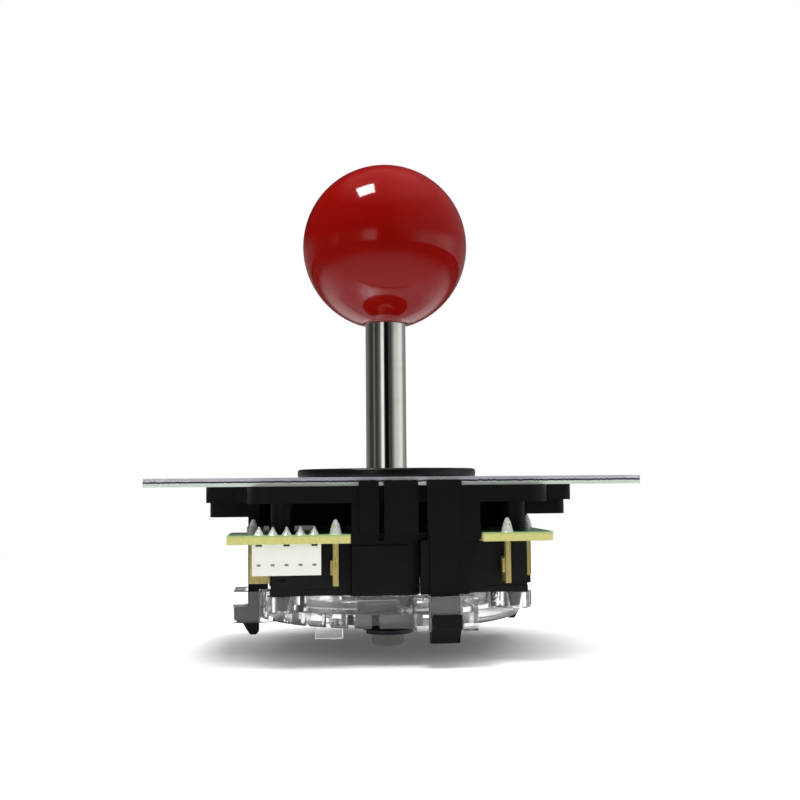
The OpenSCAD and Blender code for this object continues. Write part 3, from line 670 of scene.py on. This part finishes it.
def metal(
    name,
    colour,
    rough,
    grain=(1.0, 1.0, 1.0),
    scale=2400.0,
    depth=0.002,
    stain=(0.5, 0.5, 0.5),
    stained=0.2,
    bare=1.0,
):
    """Bare or plated metal with its grain, stains and handling marks."""
    material, tree, shader, place = new_material(name, Metallic=bare)
    worn = use(tree, "marks", {"Vector": place, "Amount": 0.6})
    lines = noise(tree, stretched(tree, place, grain), scale, 2.0, 0.6)
    cloud = spread(tree, noise(tree, place, 190.0, 4.0, 0.62, 0.5), 0.36, 0.68)
    shade = mixed(tree, maths(tree, "MULTIPLY", cloud, stained), colour4(colour), colour4(stain))
    brighter = tuple(min(1.0, c * 1.12) for c in colour)
    shade = mixed(tree, worn["Scratches"], shade, colour4(brighter))
    tree.links.new(shade, shader.inputs["Base Color"])
    uneven = maths(tree, "MULTIPLY", maths(tree, "SUBTRACT", lines, 0.5), 0.25)
    level = maths(tree, "ADD", uneven, rough)
    level = maths(tree, "ADD", level, maths(tree, "MULTIPLY", worn["Rubbed"], 0.08), clamp=True)
    tree.links.new(level, shader.inputs["Roughness"])
    relief = maths(tree, "SUBTRACT", lines, worn["Scratches"])
    set_bump(tree, shader, relief, depth * MM)
    return material


def ball_finish(colour):
    """Cast and polished plastic: a deep colour under a clear, slightly handled gloss."""
    material, tree, shader, place = new_material("Polished ball", IOR=1.49, Specular_IOR_Level=0.4)
    skin = use(tree, "skin", {"Vector": place, "Grain": 900.0, "Tone": 0.08, "Flow": 0.0})
    worn = use(tree, "marks", {"Vector": place, "Amount": 0.5})
    film = use(tree, "dust", {"Vector": place, "Amount": 0.03})
    shade = mixed(tree, 1.0, colour4(colour), skin["Shade"], "MULTIPLY")
    shade = mixed(tree, film["Dust"], shade, (0.7, 0.6, 0.58, 1.0))
    tree.links.new(shade, shader.inputs["Base Color"])
    level = maths(tree, "ADD", maths(tree, "MULTIPLY", worn["Rubbed"], 0.04), 0.075)
    level = maths(tree, "ADD", level, maths(tree, "MULTIPLY", worn["Scratches"], 0.08))
    tree.links.new(level, shader.inputs["Roughness"])
    set_bump(tree, shader, skin["Height"], 0.004 * MM)
    return material


def chrome_finish():
    """Polished shaft with the faint rings of its turning and a few smudges."""
    material, tree, shader, place = new_material("Polished shaft", Metallic=1.0)
    worn = use(tree, "marks", {"Vector": place, "Amount": 0.5})
    rings = noise(tree, stretched(tree, place, (0.02, 0.02, 1.0)), 5200.0, 2.0)
    smudge = spread(tree, noise(tree, place, 150.0, 4.0, 0.6, 0.8), 0.45, 0.7)
    shade = mixed(tree, smudge, (0.80, 0.80, 0.77, 1.0), (0.72, 0.72, 0.68, 1.0))
    tree.links.new(shade, shader.inputs["Base Color"])
    level = maths(tree, "ADD", maths(tree, "MULTIPLY", smudge, 0.05), 0.045)
    level = maths(tree, "ADD", level, maths(tree, "MULTIPLY", worn["Scratches"], 0.1))
    tree.links.new(level, shader.inputs["Roughness"])
    set_bump(tree, shader, rings, 0.0006 * MM)
    return material


def plate_edge_finish():
    """The plate's sheared edge: bright band, torn dark line and pale broken band."""
    material, tree, shader, place = new_material("Plate edge", Metallic=0.5)
    bands = use(
        tree,
        "sheared",
        {"Vector": place, "Top": PLATE_HIGH.z, "Thickness": PLATE_HIGH.z - PLATE_LOW.z},
    )
    shade = mixed(tree, bands["Broken"], (0.74, 0.75, 0.80, 1.0), (0.84, 0.93, 0.84, 1.0))
    shade = mixed(tree, bands["Torn"], shade, (0.03, 0.03, 0.06, 1.0))
    tree.links.new(shade, shader.inputs["Base Color"])
    level = maths(tree, "ADD", maths(tree, "MULTIPLY", bands["Broken"], 0.25), 0.34)
    tree.links.new(level, shader.inputs["Roughness"])
    set_bump(tree, shader, bands["Height"], 0.03 * MM)
    return material


def board_edge_finish():
    """The board's bare edge: layers of glass cloth in yellow resin, sawn."""
    material, tree, shader, place = new_material("Board edge", IOR=1.5)
    height = add(tree, "SeparateXYZ", {0: place}).outputs["Z"]
    layers = add(
        tree,
        "TexWave",
        {"Vector": place, "Scale": 820.0, "Distortion": 1.2, "Detail": 2.0, "Detail Scale": 3.0},
        bands_direction="Z",
    ).outputs["Fac"]
    fibres = noise(tree, stretched(tree, place, (1.0, 1.0, 0.35)), 3200.0, 3.0, 0.7)
    shade = mixed(tree, fibres, (0.50, 0.46, 0.10, 1.0), (0.77, 0.73, 0.33, 1.0))
    shade = mixed(tree, maths(tree, "MULTIPLY", layers, 0.25), shade, (0.50, 0.52, 0.16, 1.0))
    top = spread(tree, height, BOARD_HIGH.z - 0.5 * MM, BOARD_HIGH.z - 0.1 * MM)
    shade = mixed(tree, maths(tree, "MULTIPLY", top, 0.55), shade, (0.22, 0.42, 0.16, 1.0))
    tree.links.new(shade, shader.inputs["Base Color"])
    tree.links.new(spread(tree, fibres, 0.2, 0.8, 0.5, 0.85), shader.inputs["Roughness"])
    set_bump(tree, shader, maths(tree, "ADD", fibres, layers), 0.02 * MM)
    return material


def board_face_finish(colour):
    """The board's face: traces and ground under a green mask."""
    material, tree, shader, place = new_material(
        "Board mask", IOR=1.5, Coat_Weight=0.4, Coat_Roughness=0.12
    )
    flat = stretched(tree, place, (1.0, 1.0, 0.0))
    cells = add(
        tree,
        "TexVoronoi",
        {"Vector": flat, "Scale": 260.0, "Randomness": 0.75},
        feature="F1",
        distance="CHEBYCHEV",
    )
    tracks = spread(tree, cells.outputs["Distance"], 0.40, 0.43)
    ground = spread(tree, noise(tree, flat, 55.0, 1.0), 0.48, 0.5)
    copper = maths(tree, "MAXIMUM", maths(tree, "SUBTRACT", 1.0, tracks), ground)
    bright = tuple(min(1.0, c * 1.5 + 0.02) for c in colour)
    shade = mixed(tree, copper, colour4(colour), colour4(bright))
    skin = use(tree, "skin", {"Vector": place, "Grain": 3800.0, "Tone": 0.15})
    shade = mixed(tree, 1.0, shade, skin["Shade"], "MULTIPLY")
    tree.links.new(shade, shader.inputs["Base Color"])
    tree.links.new(maths(tree, "ADD", skin["Roughness"], 0.34), shader.inputs["Roughness"])
    relief = maths(tree, "ADD", maths(tree, "MULTIPLY", skin["Height"], 0.15), copper)
    set_bump(tree, shader, relief, 0.03 * MM)
    return material


def clear_finish(name, tint):
    """Clear moulded plastic with flow marks, slight haze and scratches."""
    material, tree, shader, place = new_material(name, IOR=1.46, Transmission_Weight=0.94)
    skin = use(tree, "skin", {"Vector": place, "Grain": 700.0, "Tone": 0.05, "Flow": 1.5})
    worn = use(tree, "marks", {"Vector": place, "Amount": 0.5})
    shade = mixed(tree, 1.0, colour4(tint), skin["Shade"], "MULTIPLY")
    tree.links.new(shade, shader.inputs["Base Color"])
    level = maths(tree, "ADD", maths(tree, "MULTIPLY", worn["Rubbed"], 0.05), 0.03)
    level = maths(tree, "ADD", level, maths(tree, "MULTIPLY", worn["Scratches"], 0.12))
    tree.links.new(level, shader.inputs["Roughness"])
    set_bump(tree, shader, skin["Height"], 0.004 * MM)
    return material


FINISHES = {}


def finish(key):
    """A finish of the joystick, made when it is first asked for."""
    colours = bpy.context.scene.joystick_colours
    makers = {
        "ball": lambda: ball_finish(colours.ball),
        "chrome": chrome_finish,
        "plastic": lambda: moulded("Satin plastic", colours.plastic, 0.38, shine=0.22, dust=0.15),
        "washer": lambda: moulded(
            "Washer plastic", colours.plastic, 0.24, grain=1800.0, depth=0.003, shine=0.3
        ),
        "switch": lambda: moulded(
            "Switch plastic", (0.0060, 0.0062, 0.0074), 0.33, grain=3200.0, depth=0.003, shine=0.34
        ),
        "nylon": lambda: moulded("Natural nylon", (0.78, 0.77, 0.70), 0.4, grain=2000.0, tone=0.1),
        "ivory": lambda: moulded(
            "Connector nylon",
            colours.ivory,
            0.42,
            grain=2200.0,
            tone=0.06,
            dust=0.06,
            marks=0.1,
            shine=0.4,
        ),
        "plunger": lambda: moulded("Plunger plastic", (0.42, 0.03, 0.025), 0.3, depth=0.003),
        "zinc": lambda: metal(
            "Zinc plating",
            (0.62, 0.66, 0.70),
            0.32,
            grain=(1.0, 0.04, 1.0),
            scale=2600.0,
            depth=0.004,
            stain=(0.56, 0.58, 0.72),
            stained=0.6,
            bare=0.5,
        ),
        "screw": lambda: metal(
            "Screw plating", (0.64, 0.66, 0.68), 0.26, stain=(0.55, 0.55, 0.62), bare=0.6
        ),
        "brass": lambda: metal(
            "Stamped brass",
            (0.76, 0.63, 0.23),
            0.30,
            grain=(1.0, 1.0, 0.05),
            scale=3000.0,
            depth=0.003,
            stain=(0.62, 0.50, 0.20),
            stained=0.5,
            bare=0.6,
        ),
        # Contacts seen in the connector's windows: a darkened copy of brass that paints the shade
        # inside the windows.
        "lance_in_painted_shade": lambda: metal(
            "Contact lance", (0.30, 0.26, 0.20), 0.4, stain=(0.2, 0.17, 0.13), bare=0.4
        ),
        "spring": lambda: metal("Spring wire", (0.55, 0.55, 0.56), 0.25, grain=(0.1, 0.1, 1.0)),
        "dark": lambda: metal(
            "Blackened steel", (0.09, 0.09, 0.11), 0.36, stain=(0.14, 0.11, 0.09)
        ),
        "solder": lambda: metal(
            "Solder",
            (0.90, 0.90, 0.87),
            0.28,
            scale=1300.0,
            depth=0.008,
            stain=(0.74, 0.75, 0.68),
            bare=0.35,
        ),
        "clear": lambda: clear_finish("Clear gate", (0.965, 0.975, 0.965)),
        "guide": lambda: clear_finish("Clear guide", (0.96, 0.97, 0.965)),
        "plate_edge": plate_edge_finish,
        "board_edge": board_edge_finish,
        "board_face": lambda: board_face_finish(colours.mask),
    }
    if key not in FINISHES:
        FINISHES[key] = makers[key]()
    return FINISHES[key]


# ---------------------------------------------------------------- pieces


class JOYSTICK_OT_lever(bpy.types.Operator):
    """Makes the ball, its insert, the shaft and what turns with it"""

    bl_idname = "joystick.lever"
    bl_label = "Lever and ball"

    def execute(self, context):
        edges = context.scene.joystick_edges
        play, chamfer, fillet = 0.1, 0.15, 0.45
        radius = (BALL_HIGH.x - BALL_LOW.x) / 2 / MM
        middle = BALL_HIGH.z / MM - radius
        base = BALL_LOW.z / MM
        insert_low, insert_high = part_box("ball_insert")
        bore = insert_high.x / MM
        floor, seat = insert_high.z / MM, insert_low.z / MM
        mouth = SHAFT_RADIUS / MM + play
        flat = (radius**2 - (middle - base) ** 2) ** 0.5
        start = -90 + degrees(flat / radius + 0.03)
        outline = arc(0, middle, radius, start, 90, 120)
        outline += [(0, floor), (bore, floor), (bore, seat), (mouth, seat)]
        outline += [(mouth, base + chamfer), (mouth + chamfer, base)]
        outline += arc(flat - 0.5, base + fillet, fillet, -90, -52, 4)
        link_piece(
            "ball_top_finished",
            turned(outline, 144),
            "lever",
            [finish("ball")],
            ("ball_top",),
            50,
        )
        dress("ball_insert", edges.stamped, finish("brass"))
        dress("lever_shaft", edges.stamped, finish("chrome"))
        dress("pivot_bush", edges.moulded, finish("nylon"))
        dress("actuator", edges.moulded, finish("plastic"))
        dress("e_ring", edges.stamped, finish("dark"))
        low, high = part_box("lever_spring")
        bend = ("return_spring", "lever", (0, 0, high.z), (0, 0, low.z))
        dress("lever_spring", 0, finish("spring"), bend=bend)
        return {"FINISHED"}


class JOYSTICK_OT_plate(bpy.types.Operator):
    """Makes the mounting plate, its screws and the dust washer"""

    bl_idname = "joystick.plate"
    bl_label = "Plate and washer"

    def execute(self, context):
        edges = context.scene.joystick_edges
        dress(
            "mounting_plate",
            edges.stamped,
            finish("zinc"),
            paint=lambda face: int(abs(face.normal.z) < 0.5),
            extra=[finish("plate_edge")],
        )
        dress("plate_screws", edges.stamped, finish("screw"))
        dress("dust_washer", edges.moulded, finish("washer"))
        return {"FINISHED"}


class JOYSTICK_OT_housing(bpy.types.Operator):
    """Makes the moulded housing and the collar under its hub"""

    bl_idname = "joystick.housing"
    bl_label = "Housing"

    def execute(self, context):
        edges = context.scene.joystick_edges
        dress("housing", edges.moulded, finish("plastic"))
        dress("centring_collar", edges.stamped, finish("plastic"))
        board = BOARD_LOW.z / MM
        webs = []
        for angle in (0, 90, 180, 270):
            for left, right, low, high in WALL_WEBS:
                web = boxed(
                    (left, WEB_FRONT, board + low), (right, WEB_BACK, board + high), 0.05 * MM
                )
                webs.append(turn_about_lever(web, angle))
        link_piece("wall_webs", joined(webs), "base", [finish("plastic")])
        return {"FINISHED"}


class JOYSTICK_OT_board(bpy.types.Operator):
    """Makes the circuit board, its solder and the connector"""

    bl_idname = "joystick.board"
    bl_label = "Board and connector"

    def execute(self, context):
        edges = context.scene.joystick_edges
        dress(
            "circuit_board",
            edges.stamped,
            finish("board_face"),
            paint=lambda face: int(abs(face.normal.z) < 0.5),
            extra=[finish("board_edge")],
        )
        link_piece(
            "solder_joints_finished",
            joined([solder_fillet(*cone) for cone in packed_cones("solder_joints")]),
            BODY_OF["solder_joints"],
            [finish("solder")],
            ("solder_joints",),
            60,
        )
        dress("connector_housing", edges.stamped, finish("ivory"))
        low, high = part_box("connector_housing")
        middle, face = (low.x + high.x) / 2 / MM, low.y / MM
        window = low.z / MM + WINDOW_RISE
        lances_in_painted_shade = []
        # Five small boxes in the connector's windows stand for the contacts there. They are
        # coloured dark brass, which paints the shade in the windows.
        for i in range(-2, 3):
            left = middle + PIN_PITCH * i - 0.34
            lance_in_painted_shade = boxed(
                (left, face - 0.02, window - 0.2),
                (left + 0.68, face + 0.25, window + 0.2),
                0.05 * MM,
            )
            lances_in_painted_shade.append(lance_in_painted_shade)
        link_piece(
            "contact_lances_in_painted_shade", joined(lances_in_painted_shade), "base", [finish("lance_in_painted_shade")]
        )
        dress("connector_pins", edges.stamped, finish("brass"))
        return {"FINISHED"}


class JOYSTICK_OT_switches(bpy.types.Operator):
    """Makes the four switches with their terminals, blades and plungers"""

    bl_idname = "joystick.switches"
    bl_label = "Switches"

    def execute(self, context):
        edges = context.scene.joystick_edges
        for side in SIDES:
            dress(side + "_switch_case", edges.moulded, finish("switch"))
            dress(side + "_switch_cover", edges.moulded, finish("switch"))
            dress(side + "_plunger", edges.moulded, finish("plunger"))
            dress(side + "_blade", 0, finish("spring"))
            dress(side + "_common_terminal", edges.moulded, finish("brass"))
            dress(side + "_open_terminal", edges.moulded, finish("brass"))
        return {"FINISHED"}


class JOYSTICK_OT_gate(bpy.types.Operator):
    """Makes the clear gate and the guide in it"""

    bl_idname = "joystick.gate"
    bl_label = "Clear gate"

    def execute(self, context):
        edges = context.scene.joystick_edges
        dress("restrictor_gate", edges.clear, finish("clear"))
        dress("gate_guide", edges.clear, finish("guide"))
        return {"FINISHED"}


# ---------------------------------------------------------------- studio


def floor_material(glow):
    """A white table that keeps the joystick's shadow and paints it darker, fades into the backdrop
    and ends in dark.

    The camera, and what it sees through clear plastic, get a white that rises with the distance
    from the joystick. Within about 36 mm of the lever that white stays low. This is a painted
    shadow that makes the floor under the joystick darker than further out. A mirror gets a table
    that darkens away from the joystick and in front.
    """
    material = bpy.data.materials.new("Studio floor")
    material.use_nodes = True
    tree = material.node_tree
    tree.nodes.clear()
    path = add(tree, "LightPath").outputs
    place = add(tree, "TexCoord").outputs["Object"]
    depth = add(tree, "SeparateXYZ", {0: place}).outputs["Y"]
    away = add(tree, "VectorMath", {0: place}, operation="LENGTH").outputs["Value"]
    seen = maths(tree, "MAXIMUM", path["Is Camera Ray"], path["Is Transmission Ray"])
    mirrored = path["Is Glossy Ray"]

    faded = maths(tree, "MULTIPLY", spread(tree, away, 0.09, 0.32), seen)
    near = maths(tree, "SUBTRACT", 1.0, faded)
    behind = spread(tree, depth, -0.06, 0.12, 0.4, 1.0)
    table = maths(tree, "MULTIPLY", spread(tree, away, 0.05, 0.38, 1.0, 0.06), behind)
    lost = maths(tree, "MULTIPLY", mirrored, maths(tree, "SUBTRACT", 1.0, table))
    body = maths(tree, "MULTIPLY", near, maths(tree, "SUBTRACT", 1.0, lost))
    grey = mixed(tree, body, (0.0, 0.0, 0.0, 1.0), (0.70, 0.70, 0.70, 1.0))
    matt = add(tree, "BsdfDiffuse", {"Color": grey}).outputs[0]

    # Painted shadow: the white stays at the floor's glow within 36 mm of the lever and only
    # reaches 0.4 past 58 mm, so the floor under the joystick is painted darker.
    under = spread(tree, away, 0.036, 0.058, glow, 0.4)
    pale = maths(tree, "MAXIMUM", spread(tree, away, 0.09, 0.32, glow, 1.0), under)
    level = maths(tree, "MULTIPLY", seen, pale)
    close = maths(tree, "MULTIPLY", mirrored, spread(tree, away, 0.05, 0.12, glow, 0.0))
    white = add(tree, "Emission", {"Strength": maths(tree, "ADD", level, close)}).outputs[0]
    both = add(tree, "AddShader", {0: matt, 1: white}).outputs[0]
    result = tree.nodes.new("ShaderNodeOutputMaterial")
    tree.links.new(both, result.inputs["Surface"])
    return material


def studio_world(level):
    """White all round, with the darker walls and ceiling that bright surfaces mirror."""
    world = bpy.data.worlds.new("Studio")
    world.use_nodes = True
    tree = world.node_tree
    tree.nodes.clear()
    path = add(tree, "LightPath").outputs
    place = add(tree, "SeparateXYZ", {0: add(tree, "TexCoord").outputs["Generated"]}).outputs
    turn = maths(tree, "ARCTAN2", place["X"], maths(tree, "MULTIPLY", place["Y"], -1.0))
    turn = maths(tree, "ADD", maths(tree, "DIVIDE", turn, 2 * pi), 0.5)
    ramp = add(tree, "ValToRGB", {"Fac": turn})
    ramp.color_ramp.interpolation = "LINEAR"
    stops = ramp.color_ramp.elements
    for i, (angle, grey) in enumerate(MIRRORED_WALLS):
        stop = stops[i] if i < 2 else stops.new(angle / 360)
        stop.position = angle / 360
        stop.color = (grey, grey, grey * 0.96, 1.0)
    to_right = spread(tree, place["X"], -0.2, 0.9, 0.01, 0.2)
    overhead = spread(tree, place["Z"], 0.70, 0.90, 0.0, 0.16)
    ceiling = maths(tree, "ADD", to_right, overhead)
    walls = mixed(tree, spread(tree, place["Z"], 0.13, 0.3), ramp.outputs["Color"], ceiling)
    glossy = path["Is Glossy Ray"]
    clear = maths(tree, "MAXIMUM", path["Is Camera Ray"], path["Is Transmission Ray"])
    colour = mixed(tree, glossy, (1.0, 1.0, 1.0, 1.0), walls)
    shown = maths(tree, "MAXIMUM", clear, glossy)
    strength = maths(tree, "ADD", maths(tree, "MULTIPLY", shown, 1.0 - level), level)
    sky = add(tree, "Background", {"Color": colour, "Strength": strength}).outputs[0]
    result = tree.nodes.new("ShaderNodeOutputWorld")
    tree.links.new(sky, result.inputs["Surface"])
    return world


def add_softbox(name, place, target, size, power, side):
    """A softbox that looks at a point, with its first edge along a side direction."""
    lamp = bpy.data.lights.new(name, "AREA")
    lamp.shape = "RECTANGLE"
    lamp.size, lamp.size_y = size
    lamp.energy = power
    holder = bpy.data.objects.new(name, lamp)
    bpy.context.scene.collection.objects.link(holder)
    back = (Vector(place) - Vector(target)).normalized()
    along = (side - back * side.dot(back)).normalized()
    turn = Matrix((along, back.cross(along), back)).transposed()
    holder.matrix_world = Matrix.Translation(place) @ turn.to_4x4()
    return holder


class JOYSTICK_OT_studio(bpy.types.Operator):
    """Makes the floor, the soft light and the camera"""

    bl_idname = "joystick.studio"
    bl_label = "Studio"

    def execute(self, context):
        studio = context.scene.joystick_studio
        scene = context.scene
        scene.view_settings.view_transform = "Standard"
        bm = bmesh.new()
        bmesh.ops.create_circle(
            bm,
            cap_ends=True,
            segments=64,
            radius=4.0,
            matrix=Matrix.Translation((0, 0, FLOOR)),
        )
        mesh = bpy.data.meshes.new("studio_floor")
        bm.to_mesh(mesh)
        bm.free()
        floor = bpy.data.objects.new("studio_floor", mesh)
        scene.collection.objects.link(floor)
        mesh.materials.append(floor_material(studio.floor_glow))
        scene.world = studio_world(studio.ambient)

        camera = bpy.data.objects.new("Camera", bpy.data.cameras.new("Camera"))
        scene.collection.objects.link(camera)
        scene.camera = camera
        camera.data.sensor_width = SENSOR_WIDTH
        camera.data.lens = CAMERA_LENS
        camera.data.clip_start = 0.01
        camera.data.clip_end = 20.0
        heading = Vector(CAMERA_HEADING).normalized()
        pitch, roll = radians(CAMERA_PITCH), radians(CAMERA_ROLL)
        ahead = heading * cos(pitch) + Vector((0, 0, sin(pitch)))
        right = ahead.cross(Vector((0, 0, 1))).normalized()
        up = right.cross(ahead)
        tilted_right = right * cos(roll) - up * sin(roll)
        tilted_up = up * cos(roll) + right * sin(roll)
        turn = Matrix((tilted_right, tilted_up, -ahead)).transposed()
        camera.matrix_world = Matrix.Translation(CAMERA_PLACE) @ turn.to_4x4()

        add_softbox(
            "Highlight softbox",
            (-0.336, -0.176, 1.028),
            (0, 0, 0.049),
            (0.30, 0.32),
            studio.highlight,
            right,
        )
        overhead = add_softbox(
            "Overhead softbox", (0.14, 0.16, 1.06), (0, 0, 0), (1.5, 1.2), studio.softbox, right
        )
        overhead.visible_glossy = False
        return {"FINISHED"}


class JOYSTICK_PT_finishes(bpy.types.Panel):
    """The joystick's settings and the buttons that make its pieces"""

    bl_label = "Arcade joystick"
    bl_idname = "JOYSTICK_PT_finishes"
    bl_space_type = "VIEW_3D"
    bl_region_type = "UI"
    bl_category = "Joystick"

    def draw(self, context):
        scene = context.scene
        for group in (scene.joystick_edges, scene.joystick_colours, scene.joystick_studio):
            box = self.layout.box()
            for key in group.__annotations__:
                box.prop(group, key)
        column = self.layout.column()
        for operator in OPERATORS:
            column.operator(operator.bl_idname)


OPERATORS = (
    JOYSTICK_OT_studio,
    JOYSTICK_OT_lever,
    JOYSTICK_OT_plate,
    JOYSTICK_OT_housing,
    JOYSTICK_OT_board,
    JOYSTICK_OT_switches,
    JOYSTICK_OT_gate,
)
CLASSES = (JoystickEdges, JoystickColours, JoystickStudio, *OPERATORS, JOYSTICK_PT_finishes)


def register():
    for item in CLASSES:
        bpy.utils.register_class(item)
    bpy.types.Scene.joystick_edges = PointerProperty(type=JoystickEdges)
    bpy.types.Scene.joystick_colours = PointerProperty(type=JoystickColours)
    bpy.types.Scene.joystick_studio = PointerProperty(type=JoystickStudio)


def unregister():
    del bpy.types.Scene.joystick_edges
    del bpy.types.Scene.joystick_colours
    del bpy.types.Scene.joystick_studio
    for item in reversed(CLASSES):
        bpy.utils.unregister_class(item)


def main():
    """Makes every piece."""
    register()
    bpy.ops.joystick.studio()
    bpy.ops.joystick.lever()
    bpy.ops.joystick.plate()
    bpy.ops.joystick.housing()
    bpy.ops.joystick.board()
    bpy.ops.joystick.switches()
    bpy.ops.joystick.gate()
    bpy.context.view_layer.update()


if __name__ == "__main__":
    main()
